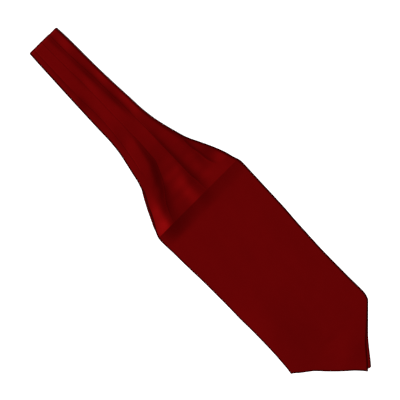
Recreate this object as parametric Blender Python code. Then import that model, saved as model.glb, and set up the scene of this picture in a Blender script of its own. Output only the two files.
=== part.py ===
"""Silk day cravat, folded in half at the middle of its neck band and laid flat.

A bag of doubled silk runs from the fold in the neck band (x = 0) to the points (x = 0.63).
Pleats press it into a narrow neck band, open out over the flare, and end at a crease across
the cravat. From there each blade lies flat as far as its point. The under half lies on the
table, and the upper half lies on it. Metres, +Z up, X along the cravat, Y across it.
"""

import math
from collections import namedtuple

import bpy
import numpy as np

# Driving dimensions of the cloth
HALF_LENGTH = 0.6300
CLOTH = 0.0010
GAP = 0.0003
PLIES = 3
NECK_END = 0.1650
CREASE = 0.2988
SHOULDER = 0.5540

# Sizes that follow from them: the pressed stack of pleats, and the level where the halves meet
PITCH = CLOTH + GAP
STACK = PLIES * CLOTH + (PLIES - 1) * GAP
MEETING = STACK + GAP / 2
NECK_TOP = 2 * STACK + GAP
BLADE_TOP = 2 * CLOTH + GAP

# Edges of each half at stations along the cravat, x being the distance from the fold
Edge = namedtuple("Edge", "x left right")
NECK_EDGES = (
    Edge(0.0000, -0.0249, 0.0253),
    Edge(0.0406, -0.0269, 0.0266),
    Edge(0.0811, -0.0289, 0.0271),
    Edge(0.1284, -0.0307, 0.0285),
    Edge(NECK_END, -0.0323, 0.0303),
)
UPPER_FLARE_EDGES = (
    Edge(NECK_END, -0.0323, 0.0303),
    Edge(0.1893, -0.0362, 0.0343),
    Edge(0.2163, -0.0422, 0.0410),
    Edge(0.2434, -0.0490, 0.0493),
    Edge(0.2704, -0.0620, 0.0614),
    Edge(CREASE, -0.0775, 0.0730),
)
LOWER_FLARE_EDGES = (
    Edge(NECK_END, -0.0323, 0.0303),
    Edge(0.1893, -0.0362, 0.0344),
    Edge(0.2163, -0.0422, 0.0413),
    Edge(0.2434, -0.0519, 0.0522),
    Edge(0.2704, -0.0659, 0.0644),
    Edge(CREASE, -0.0772, 0.0733),
)
UPPER_BLADE_EDGES = (
    Edge(CREASE, -0.0775, 0.0730),
    Edge(0.3137, -0.0784, 0.0742),
    Edge(0.3650, -0.0771, 0.0722),
    Edge(0.4462, -0.0771, 0.0674),
    Edge(0.5273, -0.0781, 0.0664),
    Edge(SHOULDER, -0.0808, 0.0656),
)
LOWER_BLADE_EDGES = (
    Edge(CREASE, -0.0772, 0.0733),
    Edge(0.3137, -0.0780, 0.0745),
    Edge(0.3650, -0.0762, 0.0727),
    Edge(0.4462, -0.0756, 0.0682),
    Edge(0.5273, -0.0760, 0.0674),
    Edge(SHOULDER, -0.0782, 0.0664),
)
UPPER_POINT_EDGES = (
    Edge(SHOULDER, -0.0808, 0.0656),
    Edge(0.5732, -0.0577, 0.0468),
    Edge(0.5949, -0.0364, 0.0262),
    Edge(HALF_LENGTH, -0.0062, -0.0052),
)
LOWER_POINT_EDGES = (
    Edge(SHOULDER, -0.0782, 0.0664),
    Edge(0.5732, -0.0559, 0.0474),
    Edge(0.5949, -0.0335, 0.0268),
    Edge(0.6282, -0.0002, 0.0008),
)

# Folded edges of the pleats in the neck band, from right to left, at its fold and at its end
Lip = namedtuple("Lip", "name at_fold at_end")
LIPS = (
    Lip("right", 0.0132, 0.0150),
    Lip("middle", -0.0025, -0.0035),
    Lip("left", -0.0172, -0.0218),
)
LIP_CLEARANCE = 0.0034
DIP_LENGTH = 0.0050

# Valleys that the pleats leave in the flare. Each runs from the end of the neck band, or from
# x_start, to x_end, and from y_start to y_end. Its path bends outwards by a power, it is deepest
# at the share peak of its length, and it is steep on the side of the folded edge, its left.
Valley = namedtuple("Valley", "name x_start x_end y_start y_end bend start depth peak wide wider")
VALLEYS = (
    Valley("rim", 0.1850, 0.2960, 0.0300, 0.0600, 1.0, 0.0000, 0.0024, 0.50, 0.0035, 0.0060),
    Valley("right", NECK_END, 0.2960, 0.0165, 0.0195, 1.0, 0.0022, 0.0027, 0.60, 0.0030, 0.0085),
    Valley("middle", NECK_END, 0.2930, -0.0020, -0.0450, 1.7, 0.0022, 0.0040, 0.55, 0.0030, 0.0085),
    Valley("left", NECK_END, 0.2750, -0.0203, -0.0470, 1.0, 0.0022, 0.0012, 0.40, 0.0025, 0.0050),
)
STEEP_SIDE = 0.8
OPEN_SIDE = 1.3

# Height of the upper flare at stations: its crest, its edges, and how much the left stands higher
Rise = namedtuple("Rise", "x crest edge lean")
RISES = (
    Rise(NECK_END, NECK_TOP, 0.0072, 0.0000),
    Rise(0.1893, 0.0083, 0.0066, 0.0000),
    Rise(0.2163, 0.0091, 0.0058, 0.0002),
    Rise(0.2434, 0.0094, 0.0047, 0.0004),
    Rise(0.2704, 0.0086, 0.0038, 0.0008),
    Rise(CREASE, 0.0062, 0.0031, 0.0011),
)
CROWN_POWER = 5.0
FALL_LENGTH = 0.0150
GROOVE_UNDER = 0.0005

# Finish of the silk, as colour, roughness and metallic value
SILK_COLOUR = (0.117, 0.0015, 0.0018, 1.0)
SILK_ROUGHNESS = 0.42
SILK_METALLIC = 0.0


def smooth_table(rows, x):
    """Reads a table at x: its first column is the distance, and each other column is one value.

    Between two rows a value follows a cubic whose slope at a row is the slope between its
    neighbours, so that outlines and heights have no corners.
    """
    table = np.array(rows, float)
    places = table[:, 0]
    slopes = np.gradient(table[:, 1:], places, axis=0)
    i = int(np.clip(np.searchsorted(places, x) - 1, 0, len(places) - 2))
    step = places[i + 1] - places[i]
    t = np.clip((x - places[i]) / step, 0.0, 1.0)
    start = (1 + 2 * t) * (1 - t) ** 2
    start_slope = t * (1 - t) ** 2 * step
    end = t * t * (3 - 2 * t)
    end_slope = t * t * (t - 1) * step
    return (
        start * table[i, 1:]
        + start_slope * slopes[i]
        + end * table[i + 1, 1:]
        + end_slope * slopes[i + 1]
    )


def ease(t):
    """Rises from 0 to 1 with level ends."""
    t = np.clip(t, 0.0, 1.0)
    return t * t * (3 - 2 * t)


def arc(centre, radius, start, end, steps=4):
    """Points on an arc in a section plane, from one angle to another, in degrees."""
    angles = np.radians(np.linspace(start, end, steps + 1))
    return [(centre[0] + radius * math.cos(a), centre[1] + radius * math.sin(a)) for a in angles]


def dip(top, bottom, steps=5):
    """Points on the soft step by which a strip goes down under the next pleat."""
    return [
        (top[0] + (bottom[0] - top[0]) * t, top[1] + (bottom[1] - top[1]) * ease(t))
        for t in np.linspace(0.0, 1.0, steps + 1)
    ]


def thicken(path):
    """The closed outline of a wall of cloth: its middle line moved out both ways, with round ends."""
    path = np.array(path, float)
    along = np.gradient(path, axis=0)
    along /= np.linalg.norm(along, axis=1)[:, None]
    normal = np.stack([-along[:, 1], along[:, 0]], axis=1)
    half = CLOTH / 2
    first = path[0] - along[0] * half
    last = path[-1] + along[-1] * half
    return np.concatenate([path + normal * half, [last], (path - normal * half)[::-1], [first]])


def neck_section(left, right, lips):
    """Section of the pleated neck band, as (y, height off the plane where the halves meet).

    The cloth starts under the right edge of the band and makes four pleats towards the left.
    Each is a hidden turn, a folded edge and a visible strip, which dips under the next pleat.
    """
    levels = [GAP / 2 + CLOTH / 2 + ply * PITCH for ply in range(PLIES)]
    turn = PITCH / 2
    inset = turn + CLOTH / 2
    low, high = (levels[0] + levels[1]) / 2, (levels[1] + levels[2]) / 2
    folded_edges = [right, *lips]
    hidden_turns = [lip + LIP_CLEARANCE for lip in lips] + [left + CLOTH]
    path = [(right - CLOTH, levels[0])]
    for i, (folded_edge, hidden_turn) in enumerate(zip(folded_edges, hidden_turns, strict=True)):
        path += arc((hidden_turn + inset, low), turn, 270, 90)
        path += arc((folded_edge - inset, high), turn, -90, 90)
        if i < len(lips):
            bottom = lips[i] - CLOTH / 2
            path += dip((bottom + DIP_LENGTH, levels[2]), (bottom, levels[0]))
    path.append((left + CLOTH / 2, levels[2]))
    return thicken(path)


def lay_upper(x, section):
    """Stands a section of the band in the upper half, at x."""
    return [(x, y, MEETING + height) for y, height in section]


def turn_over(angle, section):
    """Stands a section on the bend of the fold, at an angle from 0, above, to 180, below."""
    a = math.radians(angle)
    return [
        (MEETING - height * math.sin(a), y, MEETING + height * math.cos(a))
        for y, height in section
    ]


def lay_lower(x, section):
    """Stands a section of the band in the under half, at x, upside down."""
    return [(x, y, MEETING - height) for y, height in section]


def neck_rings():
    """Rings of the neck band, from the end of the under half, round the fold, to the upper end."""

    def section(x):
        left, right = smooth_table(NECK_EDGES, x)
        share = x / NECK_END
        lips = [lip.at_fold + (lip.at_end - lip.at_fold) * share for lip in LIPS]
        return neck_section(left, right, lips)

    stations = np.linspace(MEETING, NECK_END - GAP / 2, 4)
    rings = [lay_lower(x, section(x)) for x in stations[::-1]]
    rings += [turn_over(angle, section(0.0)) for angle in (150, 120, 90, 60, 30)]
    rings += [lay_upper(x, section(x)) for x in stations]
    return rings


def valley_depth(x, y):
    """How deep the valleys between the pleats are, together, at a place on the flare."""
    total = 0.0
    for valley in VALLEYS:
        t = np.clip((x - valley.x_start) / (valley.x_end - valley.x_start), 0.0, 1.0)
        middle = valley.y_start + (valley.y_end - valley.y_start) * t**valley.bend
        wide = valley.wide + (valley.wider - valley.wide) * t
        side = np.where(y < middle, STEEP_SIDE, OPEN_SIDE)
        if t < valley.peak:
            depth = valley.start + (valley.depth - valley.start) * ease(t / valley.peak)
        else:
            depth = valley.depth * ease((1 - t) / (1 - valley.peak))
        total = total + depth * np.exp(-(((y - middle) / (wide * side)) ** 2))
    return total


def flare_top(x, y, left, right):
    """Height of the upper flare: a crown that rolls down to both edges, less the valleys."""
    crest, edge, lean = smooth_table(RISES, x)
    across = np.clip((2 * y - left - right) / (right - left), -1.0, 1.0)
    crown = (1 - np.abs(across) ** CROWN_POWER) * (1 - 0.15 * across**2)
    return np.maximum(edge, edge + (crest - lean * across - edge) * crown - valley_depth(x, y))


def flare_thickness(x):
    """Thickness of the flare: the pressed stack at the neck, down to one wall at the crease."""
    return STACK + (CLOTH - STACK) * ease((x - NECK_END) / (CREASE - NECK_END))


def layered_edge(y, inward, bottom, top, notch):
    """Points up the edge of a stack of plies: a rounded nose for each ply, and a notch between."""
    points = []
    for ply in range(PLIES):
        nose = bottom + (top - bottom) * (ply + 0.5) / PLIES
        points.append((y, nose))
        if ply < PLIES - 1:
            points.append((y + inward * notch, bottom + (top - bottom) * (ply + 1) / PLIES))
    return points


def sheet_ring(x, left, right, top_at, bottom_at, across, notch=0.0):
    """A ring round a sheet at x: underside from left to right, right edge, top, left edge."""
    inset = min(CLOTH * 0.4, (right - left) / 4)
    ys = np.linspace(left + inset, right - inset, across)
    tops, bottoms = top_at(ys), bottom_at(ys)
    points = list(zip(ys, bottoms, strict=True))
    points += layered_edge(right, -1, bottoms[-1], tops[-1], notch)
    points += list(zip(ys, tops, strict=True))[::-1]
    points += layered_edge(left, 1, bottoms[0], tops[0], notch)[::-1]
    return [(x, y, z) for y, z in points]


def notch_at(x):
    """Depth of the notches between the plies at the edge of the flare, which close at the crease."""
    return CLOTH * (1 - ease((x - NECK_END) / (CREASE - NECK_END)))


def upper_flare_rings(across=46, stations=14):
    """Rings of the upper flare, which stands hollow over the under one."""
    rings = []
    for x in np.linspace(NECK_END + GAP / 2, CREASE - GAP / 2, stations):
        left, right = smooth_table(UPPER_FLARE_EDGES, x)
        thickness = flare_thickness(x)

        def top_at(y, x=x, left=left, right=right):
            return flare_top(x, y, left, right)

        def bottom_at(y, top_at=top_at, thickness=thickness):
            return np.maximum(top_at(y) - thickness, thickness + GAP)

        rings.append(sheet_ring(x, left, right, top_at, bottom_at, across, notch_at(x)))
    return rings


def lower_flare_rings(across=30, stations=9):
    """Rings of the under flare, pressed flat, with the pleats' grooves on its underside."""
    rings = []
    for x in np.linspace(NECK_END + GAP / 2, CREASE - GAP / 2, stations):
        left, right = smooth_table(LOWER_FLARE_EDGES, x)
        thickness = flare_thickness(x)

        def bottom_at(y, x=x):
            return np.minimum(valley_depth(x, y), GROOVE_UNDER)

        def top_at(y, thickness=thickness):
            return np.full_like(y, thickness)

        rings.append(sheet_ring(x, left, right, top_at, bottom_at, across, notch_at(x)))
    return rings


def upper_blade_rings(across=18):
    """Rings of the upper blade: down from the crease, flat to the shoulders, then to the point."""
    crease_left, crease_right = smooth_table(UPPER_FLARE_EDGES, CREASE)
    fall = [CREASE + GAP / 2 + FALL_LENGTH * t for t in (0.0, 0.14, 0.3, 0.48, 0.7, 1.0)]
    stations = fall + [row[0] for row in UPPER_BLADE_EDGES[2:]]
    rings = []
    for x in stations:
        left, right = smooth_table(UPPER_BLADE_EDGES, x)
        share = np.clip((x - CREASE) / FALL_LENGTH, 0.0, 1.0)

        def top_at(y, share=share):
            ridge = flare_top(CREASE, y, crease_left, crease_right)
            return BLADE_TOP + (ridge - BLADE_TOP) * (1 - share) ** 2

        def bottom_at(y, top_at=top_at):
            return top_at(y) - CLOTH

        rings.append(sheet_ring(x, left, right, top_at, bottom_at, across))
    for x, left, right in UPPER_POINT_EDGES[1:]:
        rings.append(flat_ring(x, left, right, BLADE_TOP, across))
    return rings


def flat_ring(x, left, right, top, across):
    """A ring round one wall of cloth that lies flat, with its upper face at top."""
    return sheet_ring(
        x,
        left,
        right,
        lambda y: np.full_like(y, top),
        lambda y: np.full_like(y, top - CLOTH),
        across,
    )


def lower_blade_rings(across=6):
    """Rings of the under blade, flat on the table from the crease to its point."""
    rings = []
    for x in [CREASE + GAP / 2] + [row[0] for row in LOWER_BLADE_EDGES[1:]]:
        left, right = smooth_table(LOWER_BLADE_EDGES, x)
        rings.append(flat_ring(x, left, right, CLOTH, across))
    for x, left, right in LOWER_POINT_EDGES[1:]:
        rings.append(flat_ring(x, left, right, CLOTH, across))
    return rings


def silk(name):
    """A satin finish of its own for one sub-part."""
    material = bpy.data.materials.new(name + "_silk")
    material.use_nodes = True
    shader = material.node_tree.nodes["Principled BSDF"]
    shader.inputs["Base Color"].default_value = SILK_COLOUR
    shader.inputs["Roughness"].default_value = SILK_ROUGHNESS
    shader.inputs["Metallic"].default_value = SILK_METALLIC
    return material


def loft(name, rings, collection, parent):
    """Joins rings of equal length into one closed solid, as an object with its own finish."""
    count = len(rings[0])
    points = [point for ring in rings for point in ring]
    faces = []
    for r in range(len(rings) - 1):
        for i in range(count):
            j = (i + 1) % count
            near, far = r * count, (r + 1) * count
            faces.append((near + i, near + j, far + j, far + i))
    faces.append(tuple(range(count))[::-1])
    faces.append(tuple(range((len(rings) - 1) * count, len(rings) * count)))
    mesh = bpy.data.meshes.new(name)
    mesh.from_pydata(points, [], faces)
    mesh.validate()
    if signed_volume(mesh) < 0:
        mesh.flip_normals()
    mesh.shade_smooth()
    mesh.set_sharp_from_angle(angle=math.radians(40))
    mesh.materials.append(silk(name))
    piece = bpy.data.objects.new(name, mesh)
    collection.objects.link(piece)
    piece.parent = parent
    return piece


def signed_volume(mesh):
    """Volume inside a closed mesh, negative where its faces point in."""
    mesh.calc_loop_triangles()
    points = np.array([v.co for v in mesh.vertices])
    corners = np.array([t.vertices for t in mesh.loop_triangles])
    a, b, c = points[corners[:, 0]], points[corners[:, 1]], points[corners[:, 2]]
    return float((a * np.cross(b, c)).sum() / 6)


def centre_on_base(pieces, parent):
    """Moves the parent so that the middle of the whole footprint, at table height, is the origin."""
    corners = np.array([v.co for piece in pieces for v in piece.data.vertices])
    middle = (corners.min(axis=0) + corners.max(axis=0)) / 2
    parent.location = (-middle[0], -middle[1], -corners[:, 2].min())


def main():
    for obj in list(bpy.data.objects):
        bpy.data.objects.remove(obj)
    collection = bpy.data.collections.new("silk_cravat")
    bpy.context.scene.collection.children.link(collection)
    root = bpy.data.objects.new("cravat_middle", None)
    collection.objects.link(root)
    pieces = [
        loft("neck_band", neck_rings(), collection, root),
        loft("flare_upper", upper_flare_rings(), collection, root),
        loft("flare_lower", lower_flare_rings(), collection, root),
        loft("blade_upper", upper_blade_rings(), collection, root),
        loft("blade_lower", lower_blade_rings(), collection, root),
    ]
    centre_on_base(pieces, root)


main()
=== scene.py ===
"""A plain silk satin day cravat, folded in half at its neck band and laid flat, seen from above.

The cravat is one bag of silk. This script makes it in the order in which it was laid down: the
under blade and its flare, the pleated neck band that turns back on itself, then the upper flare
and the upper blade. Places are u, along the cravat from its fold, v, across it, and z, up.
"""

import math
from collections import namedtuple

import bpy
import numpy as np
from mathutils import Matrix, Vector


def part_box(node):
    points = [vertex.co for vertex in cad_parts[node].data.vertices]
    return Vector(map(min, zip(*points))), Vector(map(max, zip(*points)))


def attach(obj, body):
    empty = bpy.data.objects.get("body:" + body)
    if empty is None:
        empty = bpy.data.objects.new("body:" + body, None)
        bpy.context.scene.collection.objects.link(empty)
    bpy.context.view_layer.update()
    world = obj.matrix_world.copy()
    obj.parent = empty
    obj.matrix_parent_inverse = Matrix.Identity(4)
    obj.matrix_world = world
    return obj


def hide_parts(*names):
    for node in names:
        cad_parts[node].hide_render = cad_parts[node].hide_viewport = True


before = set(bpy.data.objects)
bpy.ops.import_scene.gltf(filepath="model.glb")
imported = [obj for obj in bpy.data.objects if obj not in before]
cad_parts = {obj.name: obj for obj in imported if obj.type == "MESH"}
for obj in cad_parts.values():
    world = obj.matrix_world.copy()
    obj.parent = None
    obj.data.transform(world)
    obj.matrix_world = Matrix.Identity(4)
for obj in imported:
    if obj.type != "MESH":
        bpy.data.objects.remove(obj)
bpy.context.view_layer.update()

# The under blade
# Two layers of silk satin with a little air between them, flat on the table. It is the far end of
# the same bag as all the rest, and it shows at the point, where its tip lies to the right.
FOLD_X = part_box("neck_band")[0].x
LEFT_SIDE = 0.0808  # from the upper blade's left side to the line where v is 0
MIDDLE_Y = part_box("blade_upper")[0].y + LEFT_SIDE
PRESSED = 0.00022  # both layers, pressed together
LOOSE = 0.00080  # both layers, with air between them
CREASE = 0.2992  # where the crease is pressed across the cravat
SHOULDER = 0.5553  # where the blades end and their points begin
FALL = 0.0220  # from the crease to where a blade has fallen and its layers have parted
EDGE_ROLL = 0.0020  # width over which the side of a blade bends down
SHARP_TURN = math.radians(50)  # faces that meet at more than this are shaded as an edge
POINTS_ACROSS = 110

# Stations along a blade: close together after the crease, even along its flat stretch, close
# together about its shoulders, and even again in its point
CLOSE_END, CLOSE_COUNT, CLOSE_POWER = 0.020, 16, 1.3
FLAT_START, FLAT_COUNT = 0.024, 46
SHOULDER_STEP, SHOULDER_STEPS, SHOULDER_REACH = 0.001, 4, 0.006
POINT_COUNT = 34

# The silk's colours where its threads are bright and where they are dull, the painted shade along
# its rims and how wide that band is, and the cells of its noise to a metre, along the cloth and
# across it. Then the shade that counts as dull and how steeply it brightens, the gloss, and the relief
# of the weave
SILK_RED = (0.046, 0.00038, 0.00042)
SILK_DEEP = (0.044, 0.00034, 0.00038)
# Painted shade: the colour the cloth is darkened to along its edges, in place of the shade on its
# rolled rims
SILK_PAINTED_RIM_SHADE = (0.014, 0.00010, 0.00012)
PAINTED_RIM_SHADE_WIDTH = 0.0040
THREAD_CELLS = (260.0, 3600.0, 1.0)
SLUB_CELLS = (26.0, 60.0, 1.0)
DRAPE_CELLS = 38.0
DULLEST, CONTRAST = 0.36, 3.4
ROUGHNESS, GLOSS_SPREAD = 0.38, 0.06
THREAD_RELIEF, DRAPE_RELIEF = 0.03, 0.25

Edge = namedtuple("Edge", "u left right")
UNDER_BLADE_EDGES = (
    Edge(CREASE, -0.0757, 0.0735),
    Edge(0.3086, -0.0762, 0.0742),
    Edge(0.3248, -0.0757, 0.0736),
    Edge(0.3650, -0.0748, 0.0720),
    Edge(0.4050, -0.0743, 0.0700),
    Edge(0.4460, -0.0746, 0.0676),
    Edge(0.4860, -0.0746, 0.0664),
    Edge(0.5292, -0.0758, 0.0664),
    Edge(SHOULDER, -0.0786, 0.0648),
)
UNDER_POINT_EDGES = (
    Edge(SHOULDER, -0.0786, 0.0648),
    Edge(0.5624, -0.0692, 0.0592),
    Edge(0.5678, -0.0623, 0.0538),
    Edge(0.5786, -0.0494, 0.0430),
    Edge(0.5844, -0.0441, 0.0372),
    Edge(0.5898, -0.0388, 0.0317),
    Edge(0.5952, -0.0333, 0.0266),
    Edge(0.6060, -0.0218, 0.0177),
    Edge(0.6168, -0.0102, 0.0092),
    Edge(0.6249, -0.0010, 0.0024),
)


def ease(t):
    """Rises from 0 to 1 with level ends, as 3 t squared less 2 t cubed."""
    t = np.clip(t, 0.0, 1.0)
    return t * t * (3 - 2 * t)


def read(rows, u):
    """A table read at every u, one array for each of its columns after the first.

    Between two rows a value follows a cubic, whose slope at a row is that of the parabola through
    it and its two neighbours, or in the first and last row that of the chord to its neighbour.
    """
    table = np.array(rows, float)
    places, values = table[:, 0], table[:, 1:]
    slopes = np.gradient(values, places, axis=0)
    i = np.clip(np.searchsorted(places, u) - 1, 0, len(places) - 2)
    step = (places[i + 1] - places[i])[:, None]
    t = np.clip((u - places[i])[:, None] / step, 0.0, 1.0)
    read_here = (1 + 2 * t) * (1 - t) ** 2 * values[i] + t * (1 - t) ** 2 * step * slopes[i]
    read_next = t * t * (3 - 2 * t) * values[i + 1] + t * t * (t - 1) * step * slopes[i + 1]
    return (read_here + read_next).T


def wall_rings(u, v, z, wall):
    """Rings round a wall of cloth, one for each station, from the middle line of its section.

    Each point of the middle line is moved half the wall's thickness to both sides, square to the
    line. Near both ends of the line the wall thins as a half circle does, which rounds its edges.
    """
    along_v, along_z = np.gradient(v, axis=1), np.gradient(z, axis=1)
    length = np.maximum(np.hypot(along_v, along_z), 1e-9)
    normal_v, normal_z = -along_z / length, along_v / length
    steps = np.hypot(np.diff(v, axis=1), np.diff(z, axis=1))
    across = np.concatenate([np.zeros((len(v), 1)), np.cumsum(steps, axis=1)], axis=1)
    from_edge = np.minimum(across, across[:, -1:] - across)
    half = np.broadcast_to(np.asarray(wall) / 2, (len(v),))[:, None]
    half = half * np.sqrt(1 - (1 - np.clip(from_edge / half, 0.0, 1.0)) ** 2)
    one_side = np.stack([v + normal_v * half, z + normal_z * half], axis=2)
    other_side = np.stack([v - normal_v * half, z - normal_z * half], axis=2)
    ring = np.concatenate([one_side, other_side[:, -2:0:-1]], axis=1)
    across = np.concatenate([across, across[:, -2:0:-1]], axis=1)
    stations = np.broadcast_to(u[:, None], ring.shape[:2])
    return np.stack([stations, ring[..., 0], ring[..., 1]], axis=2), across


def tube_faces(stations, count):
    """Corners of the faces between the rings, and of the strips that close both ends.

    The first half of a ring is one side of the cloth, and the rest comes back along the other. So
    a face of a strip joins two neighbours to the two across the wall, and a triangle closes it at
    each edge of the cloth.
    """
    ring, place = np.meshgrid(np.arange(stations - 1), np.arange(count), indexing="ij")
    after = (place + 1) % count
    sides = [ring * count + place, ring * count + after, (ring + 1) * count + after]
    sides = np.stack([*sides, (ring + 1) * count + place], axis=2).reshape(-1, 4)
    last = count // 2
    near, far = np.arange(1, last - 1), count - np.arange(1, last - 1)
    strip = np.stack([near, far, far - 1, near + 1], axis=1)
    tips = np.array([[0, count - 1, 1], [last - 1, last + 1, last]])
    to_end = (stations - 1) * count
    quads = np.concatenate([sides, strip, strip[:, ::-1] + to_end])
    return quads, np.concatenate([tips, tips[:, ::-1] + to_end])


def sew(name, rings, across):
    """Joins rings of (u, v, z) into one closed piece, with its ends closed by strips.

    Its UV map is the cloth laid flat: the distance along the cravat and the distance across the
    cloth, in metres. Its attribute to_edge is the distance to the nearer edge of the cloth.
    """
    stations, count = rings.shape[:2]
    last = count // 2
    points = rings.reshape(-1, 3) + np.array([FOLD_X, MIDDLE_Y, 0.0])
    quads, tips = tube_faces(stations, count)
    # Faces that point inwards enclose a volume below 0, and are turned round
    corners = points[quads]
    volume = np.einsum("ij,ij->", corners[:, 0], np.cross(corners[:, 1], corners[:, 2]))
    volume += np.einsum("ij,ij->", corners[:, 0], np.cross(corners[:, 2], corners[:, 3]))
    if volume < 0:
        quads, tips = quads[:, ::-1], tips[:, ::-1]
    loops = np.concatenate([quads.ravel(), tips.ravel()])
    starts = np.concatenate([np.arange(len(quads)) * 4, quads.size + np.arange(len(tips)) * 3])
    mesh = bpy.data.meshes.new(name)
    mesh.vertices.add(len(points))
    mesh.vertices.foreach_set("co", points.astype(np.float32).ravel())
    mesh.loops.add(len(loops))
    mesh.loops.foreach_set("vertex_index", loops.astype(np.int32))
    mesh.polygons.add(len(starts))
    mesh.polygons.foreach_set("loop_start", starts.astype(np.int32))
    mesh.update(calc_edges=True)
    lengths = np.linalg.norm(np.diff(rings[:, :last], axis=0), axis=2).max(axis=1)
    along = np.concatenate([[0.0], np.cumsum(lengths)]) + rings[0, 0, 0]
    laid = np.stack([np.broadcast_to(along[:, None], across.shape), across], axis=2)
    laid = laid.reshape(-1, 2)[loops]
    mesh.uv_layers.new(name="cloth").data.foreach_set("uv", laid.astype(np.float32).ravel())
    to_edge = np.minimum(across, across[:, last : last + 1] - across).astype(np.float32)
    mesh.attributes.new("to_edge", "FLOAT", "POINT").data.foreach_set("value", to_edge.ravel())
    mesh.validate()
    mesh.shade_smooth()
    mesh.set_sharp_from_angle(angle=SHARP_TURN)
    piece = bpy.data.objects.new(name, mesh)
    bpy.context.scene.collection.objects.link(piece)
    return piece


class Thread:
    """A socket of the satin's node tree, on which +, - and * add Math nodes."""

    def __init__(self, tree, socket):
        self.tree = tree
        self.socket = socket

    def node(self, kind, settings=(), output=0, **sockets):
        """A node of the same tree: its settings first, then the values or links of its sockets.

        A socket is given by its name, with _ for a space, or by i and its number.
        """
        node = self.tree.nodes.new("ShaderNode" + kind)
        for name, value in dict(settings).items():
            setattr(node, name, value)
        for name, value in sockets.items():
            label = name.replace("_", " ")
            socket = node.inputs[int(name[1:]) if name[1:].isdigit() else label]
            if isinstance(value, Thread):
                self.tree.links.new(value.socket, socket)
            else:
                socket.default_value = value
        return Thread(self.tree, node.outputs[output])

    def maths(self, operation, first, second):
        return self.node("Math", {"operation": operation}, i0=first, i1=second)

    def __add__(self, other):
        return self.maths("ADD", self, other)

    def __radd__(self, other):
        return self.maths("ADD", other, self)

    def __sub__(self, other):
        return self.maths("SUBTRACT", self, other)

    def __rsub__(self, other):
        return self.maths("SUBTRACT", other, self)

    def __mul__(self, other):
        return self.maths("MULTIPLY", self, other)

    def __rmul__(self, other):
        return self.maths("MULTIPLY", other, self)


def silk_satin(name):
    """Deep red silk satin. Long floats of thread give it fine lines along the cravat and a soft
    coloured lustre, and the thread is a little uneven, so its colour and its gloss vary. Along its
    rims its colour is painted darker, as painted shade for the rolled edges that turn away from the
    light. Threads, the slubs in them and the drape of the cloth are three noises, from the finest
    to the broadest."""
    material = bpy.data.materials.new(name)
    material.use_nodes = True
    tree = material.node_tree
    shader = tree.nodes["Principled BSDF"]
    start = Thread(tree, None)
    cloth = start.node("UVMap", {"uv_map": "cloth"})
    fine = start.node("VectorMath", {"operation": "MULTIPLY"}, i0=cloth, i1=THREAD_CELLS)
    broad = start.node("VectorMath", {"operation": "MULTIPLY"}, i0=cloth, i1=SLUB_CELLS)
    threads = start.node("TexNoise", Vector=fine, Scale=1.0, Detail=2.0)
    slubs = start.node("TexNoise", Vector=broad, Scale=1.0, Detail=3.0)
    drape = start.node("TexNoise", Vector=cloth, Scale=DRAPE_CELLS, Detail=1.5)
    shade = 0.5 * slubs + 0.35 * threads + 0.15 * drape
    woven = start.node(
        "Mix",
        {"data_type": "RGBA"},
        output=2,
        i0=(shade - DULLEST) * CONTRAST,
        i6=(*SILK_DEEP, 1.0),
        i7=(*SILK_RED, 1.0),
    )
    # Painted shade: near the cloth's edges its colour is blended towards the dark rim colour, standing
    # in for the shade on its rolled rims
    to_edge = start.node("Attribute", {"attribute_name": "to_edge"}, output=2)
    inside = start.node(
        "MapRange", {"interpolation_type": "SMOOTHSTEP"}, Value=to_edge, From_Max=PAINTED_RIM_SHADE_WIDTH
    )
    colour = start.node(
        "Mix", {"data_type": "RGBA"}, output=2, i0=inside, i6=(*SILK_PAINTED_RIM_SHADE, 1.0), i7=woven
    )
    roughness = ROUGHNESS + (slubs - 0.5) * GLOSS_SPREAD + (threads - 0.5) * GLOSS_SPREAD
    height = threads * THREAD_RELIEF + drape * DRAPE_RELIEF
    bump = start.node("Bump", Strength=0.35, Distance=0.0008, Height=height)
    tree.links.new(colour.socket, shader.inputs["Base Color"])
    tree.links.new(roughness.socket, shader.inputs["Roughness"])
    tree.links.new(bump.socket, shader.inputs["Normal"])
    shader.inputs["Metallic"].default_value = 0.34
    shader.inputs["Specular IOR Level"].default_value = 0.03
    shader.inputs["Specular Tint"].default_value = (1.0, 0.06, 0.06, 1.0)
    shader.inputs["Sheen Weight"].default_value = 0.04
    shader.inputs["Sheen Roughness"].default_value = 0.4
    shader.inputs["Sheen Tint"].default_value = (0.6, 0.02, 0.02, 1.0)
    return material


def parted(u):
    """How far the two layers of a blade have parted, from 0 at the crease to 1 at FALL past it."""
    return ease((u - CREASE) / FALL)


def blade_wall(u):
    """Thickness of a blade: pressed at the crease, and loose where its layers have parted."""
    return PRESSED + (LOOSE - PRESSED) * parted(u)


def blade_rings(u, edges, top, drops):
    """Rings of a blade from the height of its top. As its layers part, its left and right sides
    bend down by the two drops, over EDGE_ROLL square to the side, or over half of the width
    where that is less."""
    left, right = edges
    slant = [EDGE_ROLL * np.hypot(1, np.gradient(edge, u)) for edge in edges]
    reaches = [np.minimum(reach, (right - left) / 2)[:, None] for reach in slant]
    share = (1 - np.cos(np.pi * np.linspace(0, 1, POINTS_ACROSS))) / 2
    v = left[:, None] + (right - left)[:, None] * share
    sides = zip((v - left[:, None], right[:, None] - v), reaches, drops, strict=True)
    roll = sum(drop * (1 - np.clip(inside / reach, 0.0, 1.0)) for inside, reach, drop in sides)
    wall = blade_wall(u)
    middle = top(u[:, None], v) - wall[:, None] / 2 - roll * parted(u)[:, None]
    return wall_rings(u, v, middle, wall)


def blade_edges(u, blade, point):
    """Left and right edges of a blade at each station, with a true corner at its shoulders."""
    return np.where(u < SHOULDER, read(blade, u), read(point, u))


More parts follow.
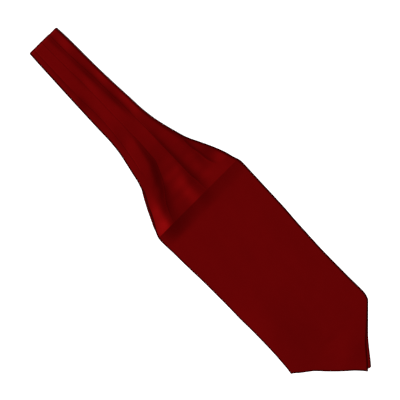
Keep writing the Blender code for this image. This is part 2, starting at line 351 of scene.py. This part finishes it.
def blade_stations(end):
    """Stations of a blade, closest just after the crease and about the shoulders."""
    after_crease = CREASE + CLOSE_END * np.linspace(0, 1, CLOSE_COUNT) ** CLOSE_POWER
    flat = np.linspace(CREASE + FLAT_START, SHOULDER - SHOULDER_REACH, FLAT_COUNT)
    shoulder = SHOULDER + SHOULDER_STEP * np.arange(-SHOULDER_STEPS, SHOULDER_STEPS + 1)
    point = np.linspace(SHOULDER + SHOULDER_REACH, end, POINT_COUNT)
    return np.concatenate([after_crease, flat, shoulder, point])


def under_top(u, v):
    """The top of the under blade, which lies flat on the table: as high as the blade is thick."""
    return blade_wall(u) + 0 * v


under_u = blade_stations(UNDER_POINT_EDGES[-1].u)
under_edges = blade_edges(under_u, UNDER_BLADE_EDGES, UNDER_POINT_EDGES)
under_rings = blade_rings(under_u, under_edges, under_top, drops=(0.0, 0.0))
under_blade = sew("under_blade", *under_rings)
under_blade.data.materials.append(silk_satin("under_blade_satin"))
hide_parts("blade_lower")
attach(under_blade, "root")

# The under flare
# The pleats of the under end, which open out from the neck band to the full width of the blade.
# The upper half presses them flat, but a strip along their left side is lifted off the table.
MEETING = 0.0027  # height of the plane where both halves meet
LEVEL = MEETING - PRESSED / 2  # from that plane to the middle of the cloth on the table
NECK_END = 0.1650
FLARE_STATIONS = 76
PITCH = 0.00026  # from ply to ply in a pressed pleat
PLY_POWER = 4  # the plies over a control go as this power of how closed its pleat is
NOSE_REACH = 0.0060  # a fold that is shallower than this opens
RIM_PLIES = 2  # plies over the cloth that runs in under the rim pleat
RIM_BLEND = 0.001  # width over which they begin
LEAST_STRIP = 0.002  # least width that counts for a strip between two pleats

# The lifted strip: its height, where along the flare it rises and sinks and how fast, and how far
# in from the side it rises, stays up and fades
SIDE_LIFT = 0.0006
LIFT_START, LIFT_RISE = 0.205, 0.030
LIFT_END, LIFT_SINK = 0.286, 0.012
LIFT_HEM, LIFT_WIDTH, LIFT_FADE = 0.0008, 0.005, 0.010

UNDER_EDGES = (
    Edge(0.0000, -0.0252, 0.0255),
    Edge(0.0197, -0.0264, 0.0264),
    Edge(0.0359, -0.0271, 0.0265),
    Edge(0.0683, -0.0287, 0.0266),
    Edge(0.1007, -0.0301, 0.0273),
    Edge(0.1331, -0.0314, 0.0288),
    Edge(0.1655, -0.0326, 0.0304),
    Edge(0.1817, -0.0346, 0.0327),
    Edge(0.1979, -0.0380, 0.0364),
    Edge(0.2114, -0.0411, 0.0400),
    Edge(0.2276, -0.0448, 0.0446),
    Edge(0.2357, -0.0475, 0.0474),
    Edge(0.2438, -0.0522, 0.0514),
    Edge(0.2519, -0.0567, 0.0552),
    Edge(0.2681, -0.0649, 0.0624),
    Edge(0.2762, -0.0686, 0.0654),
    Edge(0.2843, -0.0726, 0.0682),
    Edge(0.2924, -0.0752, 0.0704),
    Edge(CREASE, -0.0765, 0.0728),
)

# Each pleat, from right to left: its folded edge, how deep the fold under it runs, how far and
# over what width the cloth falls away to the right of the edge, and rolls down to its left
Pleat = namedtuple("Pleat", "u edge depth drop fall roll roll_width")
RIM_PLEAT = (
    Pleat(0.0000, 0.0246, 0.0085, 0.0003, 0.0010, 0.0003, 0.0012),
    Pleat(0.0359, 0.0255, 0.0088, 0.0003, 0.0010, 0.0003, 0.0012),
    Pleat(0.0845, 0.0259, 0.0095, 0.0003, 0.0010, 0.0003, 0.0012),
    Pleat(0.1331, 0.0280, 0.0100, 0.0003, 0.0010, 0.0003, 0.0012),
    Pleat(0.1655, 0.0296, 0.0100, 0.0004, 0.0012, 0.0004, 0.0014),
    Pleat(0.1979, 0.0352, 0.0092, 0.0006, 0.0015, 0.0006, 0.0018),
    Pleat(0.2222, 0.0398, 0.0075, 0.0008, 0.0030, 0.0003, 0.0025),
    Pleat(0.2384, 0.0398, 0.0045, 0.0009, 0.0030, 0.0002, 0.0030),
    Pleat(0.2546, 0.0414, 0.0015, 0.0008, 0.0045, 0.0003, 0.0045),
    Pleat(0.2708, 0.0430, 0.0000, 0.0013, 0.0080, 0.0004, 0.0070),
    Pleat(0.2850, 0.0480, 0.0000, 0.0001, 0.0080, 0.0001, 0.0080),
    Pleat(CREASE, 0.0540, 0.0000, 0.0000, 0.0050, 0.0000, 0.0050),
)
RIGHT_PLEAT = (
    Pleat(0.0000, 0.0116, 0.0110, 0.0002, 0.0030, 0.0002, 0.0040),
    Pleat(0.0140, 0.0116, 0.0115, 0.0002, 0.0030, 0.0004, 0.0040),
    Pleat(0.0359, 0.0120, 0.0118, 0.0001, 0.0030, 0.0002, 0.0035),
    Pleat(0.0580, 0.0126, 0.0120, 0.0003, 0.0030, 0.0003, 0.0035),
    Pleat(0.0800, 0.0136, 0.0120, 0.0005, 0.0032, 0.0005, 0.0035),
    Pleat(0.1000, 0.0142, 0.0122, 0.0003, 0.0032, 0.0003, 0.0035),
    Pleat(0.1230, 0.0146, 0.0125, 0.0005, 0.0032, 0.0005, 0.0035),
    Pleat(0.1440, 0.0150, 0.0125, 0.0004, 0.0030, 0.0003, 0.0035),
    Pleat(0.1655, 0.0152, 0.0125, 0.0001, 0.0030, 0.0000, 0.0030),
    Pleat(0.1850, 0.0154, 0.0120, 0.0002, 0.0030, 0.0000, 0.0030),
    Pleat(0.2000, 0.0148, 0.0115, 0.0005, 0.0030, 0.0000, 0.0030),
    Pleat(0.2222, 0.0142, 0.0102, 0.0009, 0.0034, 0.0001, 0.0030),
    Pleat(0.2384, 0.0138, 0.0085, 0.0012, 0.0042, 0.0001, 0.0030),
    Pleat(0.2546, 0.0134, 0.0060, 0.0013, 0.0050, 0.0002, 0.0035),
    Pleat(0.2708, 0.0132, 0.0028, 0.0012, 0.0060, 0.0003, 0.0050),
    Pleat(0.2789, 0.0134, 0.0010, 0.0010, 0.0070, 0.0003, 0.0070),
    Pleat(0.2890, 0.0136, 0.0000, 0.0007, 0.0120, 0.0001, 0.0070),
    Pleat(CREASE, 0.0140, 0.0000, 0.0004, 0.0180, 0.0000, 0.0070),
)
MIDDLE_PLEAT = (
    Pleat(0.0000, -0.0026, 0.0105, 0.0001, 0.0030, 0.0000, 0.0020),
    Pleat(0.0500, -0.0026, 0.0108, 0.0000, 0.0020, 0.0000, 0.0020),
    Pleat(0.0750, -0.0022, 0.0110, 0.0001, 0.0020, 0.0001, 0.0025),
    Pleat(0.1050, -0.0026, 0.0115, 0.0000, 0.0020, 0.0000, 0.0025),
    Pleat(0.1331, -0.0032, 0.0118, 0.0000, 0.0020, 0.0000, 0.0025),
    Pleat(0.1655, -0.0040, 0.0120, 0.0000, 0.0020, 0.0000, 0.0025),
    Pleat(0.1898, -0.0046, 0.0118, 0.0000, 0.0020, 0.0003, 0.0030),
    Pleat(0.2060, -0.0060, 0.0112, 0.0000, 0.0020, 0.0007, 0.0045),
    Pleat(0.2140, -0.0064, 0.0108, 0.0000, 0.0020, 0.0011, 0.0052),
    Pleat(0.2222, -0.0074, 0.0104, 0.0000, 0.0020, 0.0015, 0.0058),
    Pleat(0.2303, -0.0104, 0.0097, 0.0000, 0.0020, 0.0019, 0.0068),
    Pleat(0.2384, -0.0142, 0.0090, 0.0001, 0.0022, 0.0020, 0.0070),
    Pleat(0.2465, -0.0178, 0.0080, 0.0002, 0.0030, 0.0020, 0.0078),
    Pleat(0.2546, -0.0228, 0.0068, 0.0007, 0.0042, 0.0013, 0.0055),
    Pleat(0.2627, -0.0290, 0.0054, 0.0012, 0.0070, 0.0007, 0.0055),
    Pleat(0.2708, -0.0352, 0.0036, 0.0013, 0.0100, 0.0003, 0.0050),
    Pleat(0.2789, -0.0406, 0.0014, 0.0011, 0.0110, 0.0001, 0.0050),
    Pleat(0.2870, -0.0446, 0.0000, 0.0006, 0.0120, 0.0000, 0.0050),
    Pleat(CREASE, -0.0490, 0.0000, 0.0001, 0.0120, 0.0000, 0.0050),
)
LEFT_PLEAT = (
    Pleat(0.0000, -0.0170, 0.0062, 0.0000, 0.0020, 0.0000, 0.0020),
    Pleat(0.0700, -0.0190, 0.0072, 0.0000, 0.0020, 0.0001, 0.0025),
    Pleat(0.0912, -0.0196, 0.0078, 0.0001, 0.0020, 0.0001, 0.0040),
    Pleat(0.1250, -0.0186, 0.0085, 0.0001, 0.0020, 0.0001, 0.0030),
    Pleat(0.1500, -0.0200, 0.0088, 0.0000, 0.0020, 0.0000, 0.0025),
    Pleat(0.1775, -0.0234, 0.0085, 0.0001, 0.0025, 0.0001, 0.0035),
    Pleat(0.1950, -0.0262, 0.0075, 0.0000, 0.0025, 0.0000, 0.0030),
    Pleat(0.2140, -0.0300, 0.0045, 0.0000, 0.0030, 0.0000, 0.0035),
    Pleat(0.2303, -0.0345, 0.0000, 0.0000, 0.0040, 0.0000, 0.0040),
    Pleat(0.2465, -0.0410, 0.0000, 0.0000, 0.0040, 0.0000, 0.0040),
    Pleat(CREASE, -0.0640, 0.0000, 0.0000, 0.0050, 0.0000, 0.0040),
)
PLEATS = (RIM_PLEAT, RIGHT_PLEAT, MIDDLE_PLEAT, LEFT_PLEAT)
LIP = 0.00046  # step under a folded edge that stands up
PRESSED_LIP = 0.00011  # step under one that is pressed flat
FULL_LOSS = 0.0006  # roll and drop together from which an edge stands up
RECOVERY = 0.030  # least distance on which the cloth regains its height
REGAINED = 0.75  # share of its height that it regains

# The S of one pleat, from the dip on its right, through the hidden turn, to the top of its edge:
# steps to the right of the edge, shares of the fold's depth to its left, plies below the top, and
# the even steps that they open into where the pleat has run out
FOLDED_STEPS = np.array([0.0012, 0.0002, 0, 0, 0, 0, -0.0002, 0.0003, -0.0002, -0.0014])
DEPTH_SHARES = np.array([0, 0, 0.5, 1, 1, 0.5, 0, 0, 0, 0])
PLIES_DOWN = np.array([0, 0, 2, 2, 1, 1, 1, 0.4, 0, 0])
OPEN_STEPS = np.array([0.0016, 0.0012, 0.0008, 0.0004, 0, -0.0004, -0.0008, -0.0011, -0.0014, -0.0018])

# Places of the controls across a strip between two pleats, from the right edge in under the rim
# pleat, and from the last pleat to the left edge, and extra places near both ends of a line, in
# spans between its controls
STRIP_STEPS = np.linspace(0, 1, 13)[1:-1]
RIM_STEPS = np.linspace(0, 1, 9)[:-1]
LEFT_STEPS = np.linspace(0, 1, 20)[1:] ** 0.8
NEAR_END = np.array([0.02, 0.08, 0.18, 0.32])


def closed_share(pleat):
    """How closed a pleat is: 1 while its fold is deeper than NOSE_REACH, and 0 at no depth."""
    return np.clip(pleat.depth / NOSE_REACH, 0.0, 1.0)


def laid_controls(pleats, left, right):
    """Places of the cloth's controls at each station, from its right edge to its left one.

    There are even steps across each strip that shows, and the S of each pleat between two strips,
    which opens as its fold gets shallow. With the places come the plies that lie over each
    control, which are soon gone as its pleat opens, and the number of its pleat, or -1 on a strip.
    """
    blocks, plies, owners = [], [], []
    came_from = right
    for number, pleat in enumerate(pleats):
        closed = closed_share(pleat)
        fold = FOLDED_STEPS - DEPTH_SHARES * pleat.depth
        fold = pleat.edge + closed * fold + (1 - closed) * OPEN_STEPS
        down = closed**PLY_POWER * PLIES_DOWN
        if number == 0:
            # The cloth starts at the right edge and runs in under the rim pleat
            fold, down = fold[:, 2:], down[:, 2:]
            start = came_from + (fold[:, :1] - came_from) * RIM_STEPS
            hidden = RIM_PLIES * closed * ease((pleat.edge - start) / RIM_BLEND + 0.5)
        else:
            start = came_from + (fold[:, :1] - came_from) * STRIP_STEPS
            hidden = np.zeros_like(start)
        blocks += [start, fold]
        plies += [hidden, down]
        owners += [np.full(start.shape[1], -1), np.full(fold.shape[1], number)]
        came_from = fold[:, -1:]
    last = came_from + (left - came_from) * LEFT_STEPS
    blocks.append(last)
    plies.append(np.zeros_like(last))
    owners.append(np.full(last.shape[1], -1))
    return (np.concatenate(part, axis=-1) for part in (blocks, plies, owners))


def pleated_controls(u, edges, surface, softness):
    """Controls of the cloth's middle line at each station, from its right edge to its left one.

    Each has the height of the surface there, less the plies that lie over it and what the cloth
    loses at the pleats. That is the step under each folded edge, which is least where the pleat
    is pressed flat and is mostly regained across the strip to its right, what the cloth falls
    away there, which is mostly regained as half a wave on the way to the right edge, and a roll
    to the left of the folded edge that falls off as a bell.
    """
    left, right = (edge[:, None] for edge in edges)
    pleats = [Pleat(u, *(column[:, None] for column in read(rows, u))) for rows in PLEATS]
    v, down, owner = laid_controls(pleats, left, right)
    z = surface(u[:, None], v) - down * PITCH
    next_edge = right
    for number, pleat in enumerate(pleats):
        # The first two controls of a pleat's S still belong to the strip on its right
        before_turn = np.arange(len(owner)) < np.argmax(owner == number) + (2 if number else 0)
        on_right = np.where(owner == number, before_turn, v > pleat.edge)
        past = np.maximum(v - pleat.edge, 0.0)
        lost = pleat.roll + pleat.drop * (1 - np.exp(-past / pleat.fall))
        stands = ease((pleat.roll + pleat.drop) / FULL_LOSS)
        step = closed_share(pleat) * (PRESSED_LIP + (LIP - PRESSED_LIP) * stands)
        if number:
            to_edge = np.clip(past / np.maximum(right - pleat.edge, RECOVERY), 0.0, 1.0)
            lost = lost * (1 - REGAINED * (1 - np.cos(np.pi * to_edge)) / 2)
            strip = np.maximum(next_edge - pleat.edge, LEAST_STRIP)
            step = step * (1 - REGAINED * np.clip(past / strip, 0.0, 1.0))
        roll = pleat.roll * np.exp(-(((v - pleat.edge) / pleat.roll_width) ** 2))
        z -= np.where(on_right, step + softness * lost, softness * roll)
        next_edge = pleat.edge
    return v, z


def smooth_line(v, z, samples):
    """Points on the uniform cubic B-splines of the controls.

    At place i + f the four controls nearest weigh (1 - f) cubed, 3 f cubed - 6 f squared + 4,
    1 + 3 f + 3 f squared - 3 f cubed, and f cubed, all over 6. One more control past each end,
    its neighbour mirrored in it, makes the line start and stop at the end controls.
    """
    spans = v.shape[1] - 1
    places = np.linspace(0, spans, spans * samples + 1)
    places = np.unique(np.concatenate([places, NEAR_END, spans - NEAR_END]))
    i = np.minimum(places.astype(int), spans - 1)
    f = places - i
    weights = ((1 - f) ** 3, 3 * f**3 - 6 * f**2 + 4, 1 + 3 * f + 3 * f**2 - 3 * f**3, f**3)
    lines = []
    for values in (v, z):
        before, after = 2 * values[:, :1] - values[:, 1:2], 2 * values[:, -1:] - values[:, -2:-1]
        values = np.concatenate([before, values, after], axis=1)
        lines.append(sum(values[:, i + k] * weight / 6 for k, weight in enumerate(weights)))
    return lines


def pressed_flat(u, v):
    """The surface of the under half, down from the plane where both halves meet: flat on the
    table, but a strip along the left side of its flare is lifted."""
    inside = v - read(UNDER_EDGES, u[:, 0])[0][:, None]
    lift = SIDE_LIFT * ease(inside / LIFT_HEM) * (1 - ease((inside - LIFT_WIDTH) / LIFT_FADE))
    lifted = ease((u - LIFT_START) / LIFT_RISE) * (1 - ease((u - LIFT_END) / LIFT_SINK))
    return LEVEL - lift * lifted


def half_rings(u, rows, surface, softness, samples):
    """Rings of a pleated stretch, with z measured from the plane where both halves meet. The
    softness is the share of the pleats' rolls and drops that isn't pressed out of it."""
    v, z = pleated_controls(u, read(rows, u), surface, softness)
    return wall_rings(u, *smooth_line(v, z, samples), PRESSED)


def turned_over(rings):
    """Rings of the under half, turned over about the plane where both halves meet."""
    return rings * np.array([1, 1, -1]) + np.array([0, 0, MEETING])


flare_u = np.linspace(NECK_END, CREASE, FLARE_STATIONS)
rings, across = half_rings(flare_u, UNDER_EDGES, pressed_flat, softness=0.1, samples=2)
under_flare = sew("under_flare", turned_over(rings), across)
under_flare.data.materials.append(silk_satin("under_flare_satin"))
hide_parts("flare_lower")
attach(under_flare, "root")

# The pleated neck band
# The middle of the bag, pressed into four pleats that face to the right. It turns back on itself
# at its middle, so its upper stretch, its turn and its under stretch all show at the narrow end.
NECK_STATIONS = 50
TURN_STEPS = 14
FOLD_PUFF = 0.0006  # how far the outside of the turn stands past u = 0
SIDE_ROLL = 0.0024  # width over which both edges of the upper half roll down
UPPER_EDGES = (
    *UNDER_EDGES[:10],
    Edge(0.2276, -0.0448, 0.0449),
    Edge(0.2330, -0.0466, 0.0471),
    Edge(0.2438, -0.0496, 0.0524),
    Edge(0.2519, -0.0540, 0.0563),
    Edge(0.2600, -0.0588, 0.0601),
    Edge(0.2708, -0.0636, 0.0648),
    Edge(0.2816, -0.0696, 0.0686),
    Edge(0.2924, -0.0757, 0.0714),
    Edge(CREASE, -0.0783, 0.0737),
)
# Height of the upper half over the plane of meeting, at its crest and at its left and right
# sides, the power by which it falls to them, and how far its left and right edges roll down
Rise = namedtuple("Rise", "u crest left right power roll_left roll_right")
LOW_RIGHT = LEVEL - 0.0003
RISES = (
    Rise(0.0000, LEVEL, LEVEL, LOW_RIGHT, 4.0, 0.0019, 0.0000),
    Rise(0.1400, LEVEL, LEVEL, LOW_RIGHT, 4.0, 0.0019, 0.0000),
    Rise(0.1655, LEVEL, LEVEL, LOW_RIGHT, 4.0, 0.0019, 0.0000),
    Rise(0.1900, 0.0026, 0.0026, 0.0024, 4.0, 0.0019, 0.0001),
    Rise(0.2160, 0.00265, 0.0025, 0.0023, 4.0, 0.0020, 0.0004),
    Rise(0.2430, 0.0022, 0.0018, 0.0020, 3.5, 0.0020, 0.0008),
    Rise(0.2700, 0.0010, 0.0000, 0.0009, 3.0, 0.0018, 0.0009),
    Rise(0.2880, -0.0002, -0.0006, -0.0005, 3.0, 0.0015, 0.0007),
    Rise(CREASE, -0.0004, -0.0006, -0.0007, 3.0, 0.0013, 0.0006),
)
# Soft ridges by name: each runs from (u_start, v_start) to (u_end, v_end), bends by a power, is
# highest at the share peak of its length, and has one width at its start and one at its end
Ridge = namedtuple("Ridge", "name u_start u_end v_start v_end bend height peak wide_start wide_end")
UPPER_RIDGES = (
    Ridge("neck left", 0.080, 0.116, -0.0290, -0.0300, 1.0, 0.00045, 0.4, 0.010, 0.009),
    Ridge("neck middle", 0.020, 0.150, 0.004, 0.005, 1.0, 0.00012, 0.6, 0.006, 0.006),
    Ridge("left lobe", 0.236, CREASE, -0.036, -0.0545, 0.8, 0.0018, 1.0, 0.0095, 0.0145),
    Ridge("middle lobe", 0.250, 0.345, 0.0025, 0.0020, 1.0, 0.0008, 0.40, 0.0105, 0.0115),
    Ridge("crease fill", 0.262, CREASE, -0.024, -0.033, 1.0, 0.0007, 1.0, 0.013, 0.018),
)


def relief(ridges, u, v):
    """Height of all the ridges at (u, v): along its path each rises and falls with level ends,
    and across it each falls off as a bell of its width."""
    total = np.zeros(np.broadcast(u, v).shape)
    for ridge in ridges:
        t = np.clip((u - ridge.u_start) / (ridge.u_end - ridge.u_start), 0.0, 1.0)
        middle = ridge.v_start + (ridge.v_end - ridge.v_start) * t**ridge.bend
        wide = ridge.wide_start + (ridge.wide_end - ridge.wide_start) * t
        rise = ease(t / ridge.peak)
        fall = ease((1 - t) / (1 - ridge.peak)) if ridge.peak < 1 else 1.0
        total += ridge.height * rise * fall * np.exp(-(((v - middle) / wide) ** 2))
    return total


def upper_half(u, v):
    """The surface of the upper half, up from the plane of meeting: a crown that falls to both
    sides as a power of the distance across, the ridges on it, and a roll down at both edges."""
    rises = [row[:, None] for row in read(RISES, u[:, 0])]
    crest, low_left, low_right, power, roll_left, roll_right = rises
    left, right = (row[:, None] for row in read(UPPER_EDGES, u[:, 0]))
    across = np.clip((2 * v - left - right) / (right - left), -1.0, 1.0)
    low = np.where(across < 0, low_left, low_right)
    crown = low + (crest - low) * (1 - np.abs(across) ** power)
    rolled = roll_left * (1 - np.clip((v - left) / SIDE_ROLL, 0.0, 1.0))
    rolled += roll_right * (1 - np.clip((right - v) / SIDE_ROLL, 0.0, 1.0))
    return crown + relief(UPPER_RIDGES, u, v) - rolled


neck_u = np.linspace(MEETING - FOLD_PUFF, NECK_END, NECK_STATIONS)
upper, upper_across = half_rings(neck_u, UPPER_EDGES, upper_half, softness=1.0, samples=3)
under, under_across = half_rings(neck_u, UNDER_EDGES, pressed_flat, softness=0.3, samples=3)
# The turn is half a circle whose section changes from the upper one to the under one as a cosine
angles = np.linspace(0, np.pi, TURN_STEPS + 1)[1:-1, None]
share = (1 - np.cos(angles)) / 2
section = upper[0][None] * (1 - share[..., None]) + under[0][None] * share[..., None]
turn_across = upper_across[0] * (1 - share) + under_across[0] * share
turn = np.stack(
    [
        neck_u[0] - section[..., 2] * np.sin(angles),
        section[..., 1],
        MEETING + section[..., 2] * np.cos(angles),
    ],
    axis=2,
)
upper[..., 2] += MEETING
neck_rings = np.concatenate([upper[::-1], turn, turned_over(under)])
neck_across = np.concatenate([upper_across[::-1], turn_across, under_across])
neck_band = sew("pleated_neck", neck_rings, neck_across)
neck_band.data.materials.append(silk_satin("neck_satin"))
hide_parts("neck_band")
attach(neck_band, "root")

# The upper flare
# The pleats of the upper end open out over the under flare. The cloth in them stands up a little,
# in soft ridges with troughs along the pleats, and ends at the crease pressed across the cravat.
rings, across = half_rings(flare_u, UPPER_EDGES, upper_half, softness=1.0, samples=3)
rings[..., 2] += MEETING
upper_flare = sew("upper_flare", rings, across)
upper_flare.data.materials.append(silk_satin("upper_flare_satin"))
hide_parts("flare_upper")
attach(upper_flare, "root")

# The upper blade
# Two layers of silk satin, flat on the under blade. From the crease it falls to the under blade,
# and at its point it ends a little to the left of it.
BLADE_GAP = 0.00005
UPPER_BLADE_TOP = 2 * LOOSE + BLADE_GAP
UPPER_BLADE_EDGES = (
    Edge(CREASE, -0.0783, 0.0737),
    Edge(0.3030, -0.0788, 0.0745),
    Edge(0.3086, -0.0789, 0.0747),
    Edge(0.3167, -0.0786, 0.0745),
    Edge(0.3248, -0.0783, 0.0742),
    Edge(0.3464, -0.0780, 0.0733),
    Edge(0.3680, -0.0774, 0.0725),
    Edge(0.3896, -0.0769, 0.0716),
    Edge(0.4112, -0.0769, 0.0700),
    Edge(0.4328, -0.0770, 0.0688),
    Edge(0.4544, -0.0774, 0.0677),
    Edge(0.4760, -0.0771, 0.0671),
    Edge(0.4976, -0.0773, 0.0669),
    Edge(0.5192, -0.0779, 0.0668),
    Edge(0.5408, -0.0794, 0.0671),
    Edge(0.5462, -0.0798, 0.0670),
    Edge(0.5516, -0.0806, 0.0661),
    Edge(SHOULDER, -0.0812, 0.0648),
)
UPPER_POINT_EDGES = (
    Edge(SHOULDER, -0.0812, 0.0648),
    Edge(0.5570, -0.0786, 0.0641),
    Edge(0.5624, -0.0724, 0.0590),
    Edge(0.5678, -0.0654, 0.0532),
    Edge(0.5732, -0.0583, 0.0473),
    Edge(0.5786, -0.0527, 0.0416),
    Edge(0.5844, -0.0473, 0.0350),
    Edge(0.5898, -0.0421, 0.0290),
    Edge(0.5952, -0.0367, 0.0230),
    Edge(0.6006, -0.0311, 0.0178),
    Edge(0.6060, -0.0253, 0.0132),
    Edge(0.6114, -0.0190, 0.0086),
    Edge(0.6168, -0.0137, 0.0041),
    Edge(0.6222, -0.0089, -0.0010),
    Edge(0.6259, -0.0060, -0.0048),
)
UPPER_BLADE_RIDGES = (
    Ridge("across the point", 0.560, 0.618, -0.004, -0.004, 1.0, 0.00030, 0.55, 0.030, 0.012),
    Ridge("along the left", 0.420, 0.590, -0.062, -0.062, 1.0, 0.00070, 0.5, 0.036, 0.034),
    Ridge("along the right", 0.330, 0.540, 0.035, 0.030, 1.0, 0.00012, 0.3, 0.026, 0.022),
)


def upper_blade_top(u, v):
    """The top of the upper blade. What is left of the crease falls away over FALL as one less
    a sine, steepest at the crease, and the ridges lie on it."""
    at_crease = np.full(u.shape, CREASE)
    ridge = MEETING + upper_half(at_crease, v) + PRESSED / 2 - UPPER_BLADE_TOP
    t = np.clip((u - CREASE) / FALL, 0.0, 1.0)
    fallen = np.sin(np.pi / 2 * t)
    return UPPER_BLADE_TOP + ridge * (1 - fallen) + relief(UPPER_BLADE_RIDGES, u, v)


upper_u = blade_stations(UPPER_POINT_EDGES[-1].u)
upper_edges = blade_edges(upper_u, UPPER_BLADE_EDGES, UPPER_POINT_EDGES)
upper_rings = blade_rings(upper_u, upper_edges, upper_blade_top, drops=(0.0010, 0.0005))
upper_blade = sew("upper_blade", *upper_rings)
upper_blade.data.materials.append(silk_satin("upper_blade_satin"))
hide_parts("blade_upper")
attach(upper_blade, "root")

# The stage
# A pale floor under soft studio light. The key light comes from the side of the fold, and the
# camera looks straight down, turned so that the cravat runs from top left to bottom right.
PIXEL = 0.00135  # of the cravat's length in metres
PHOTO_FOLD = (42.1, 40.1)
PHOTO_MIDDLE = (199.5, 199.5)
PHOTO_WIDTH = 400
PHOTO_TURN = math.radians(45)
CAMERA_HEIGHT = 24.0
SENSOR_MM = 36.0


def floor_plane():
    """A plain pale floor, twelve metres across."""
    bpy.ops.mesh.primitive_plane_add(size=12.0)
    floor = bpy.context.object
    floor.name = "floor"
    material = bpy.data.materials.new("floor_white")
    material.use_nodes = True
    shader = material.node_tree.nodes["Principled BSDF"]
    shader.inputs["Base Color"].default_value = (0.9, 0.9, 0.9, 1.0)
    shader.inputs["Roughness"].default_value = 0.9
    shader.inputs["Specular IOR Level"].default_value = 0.0
    floor.data.materials.append(material)


def softbox(name, place, size, power):
    """A square soft light that faces the middle of the cravat."""
    light = bpy.data.lights.new(name, "AREA")
    light.shape = "SQUARE"
    light.size = size
    light.energy = power
    box = bpy.data.objects.new(name, light)
    box.location = place
    toward = -np.array(place)
    box.rotation_euler = (
        math.atan2(math.hypot(toward[0], toward[1]), -toward[2]),
        0.0,
        math.atan2(toward[1], toward[0]) - math.pi / 2,
    )
    box.visible_camera = False
    bpy.context.scene.collection.objects.link(box)


floor_plane()
softbox("key", place=(-12.6, -13.5, 57.0), size=9.6, power=51200.0)

world = bpy.data.worlds.new("studio")
world.use_nodes = True
world.node_tree.nodes["Background"].inputs["Color"].default_value = (1.0, 1.0, 1.0, 1.0)
world.node_tree.nodes["Background"].inputs["Strength"].default_value = 0.35
bpy.context.scene.world = world
bpy.context.scene.view_settings.view_transform = "Standard"

right_of_fold = PHOTO_MIDDLE[0] - PHOTO_FOLD[0]
below_fold = PHOTO_MIDDLE[1] - PHOTO_FOLD[1]
aim_u = (right_of_fold * math.cos(PHOTO_TURN) + below_fold * math.sin(PHOTO_TURN)) * PIXEL
aim_v = (right_of_fold * math.sin(PHOTO_TURN) - below_fold * math.cos(PHOTO_TURN)) * PIXEL
camera_data = bpy.data.cameras.new("camera")
camera_data.sensor_width = SENSOR_MM
camera_data.lens = SENSOR_MM * CAMERA_HEIGHT / (PHOTO_WIDTH * PIXEL)
camera = bpy.data.objects.new("camera", camera_data)
camera.location = (FOLD_X + aim_u, MIDDLE_Y + aim_v, CAMERA_HEIGHT)
camera.rotation_euler = (0.0, 0.0, PHOTO_TURN)
bpy.context.scene.collection.objects.link(camera)
bpy.context.scene.camera = camera
